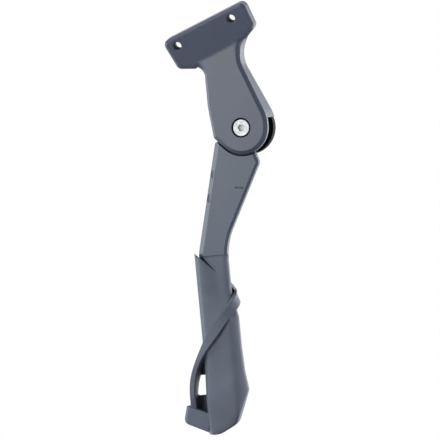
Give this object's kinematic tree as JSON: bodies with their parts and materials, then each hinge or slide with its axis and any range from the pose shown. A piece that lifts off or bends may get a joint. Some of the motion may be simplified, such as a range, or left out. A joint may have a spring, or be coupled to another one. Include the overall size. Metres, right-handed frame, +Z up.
{
  "type": "bicycle kickstand",
  "caption": "Rear bicycle kickstand with a bolt-on angled bracket, a detented pivot, a flat tapered leg and a long moulded foot with a spiral ribbon that opens into a loop.",
  "frame": {"origin": "midway between the two mounting holes on the mating face of the plate", "axes": "+X along the row of holes, +Y out of the mating face towards the bicycle frame, +Z up in the plane of the plate"},
  "size_m": [0.1552, 0.0624, 0.2409],
  "materials": {
    "bracket_coat": "matte",
    "leg_coat": "matte",
    "foot_plastic": "matte",
    "black_steel": "matte",
    "bright_steel": "satin",
    "bronze": "satin"
  },
  "bodies": {
    "bracket": {"mount_bracket": "bracket_coat", "rear_cheek_plate": "black_steel", "pivot_bolt": "bright_steel", "pivot_bush": "bronze", "thrust_washer_front": "bright_steel", "thrust_washer_rear": "bright_steel", "pivot_nut": "bright_steel", "detent_spring": "bright_steel"},
    "detent": {"detent_plunger": "bright_steel"},
    "leg": {"leg_arm": "leg_coat"},
    "foot": {"foot_sleeve": "foot_plastic", "foot_clamp_screw": "black_steel", "foot_clamp_nut": "bright_steel"}
  },
  "joints": [
    {"name": "leg_fold", "type": "hinge", "parent": "bracket", "child": "leg", "pos_m": [-0.0055, -0.01155, -0.0666], "axis": [0, -0.9744, 0.225], "range_deg": [0, 86]},
    {"name": "foot_slide", "type": "slide", "parent": "leg", "child": "foot", "axis": [-0.3486, -0.2108, -0.9133], "range_m": [0, 0.04]},
    {"name": "detent_travel", "type": "slide", "parent": "bracket", "child": "detent", "axis": [-0.1132, -0.2235, -0.9681], "range_m": [0, 0.0015], "deforming": ["detent_spring"]}
  ]
}
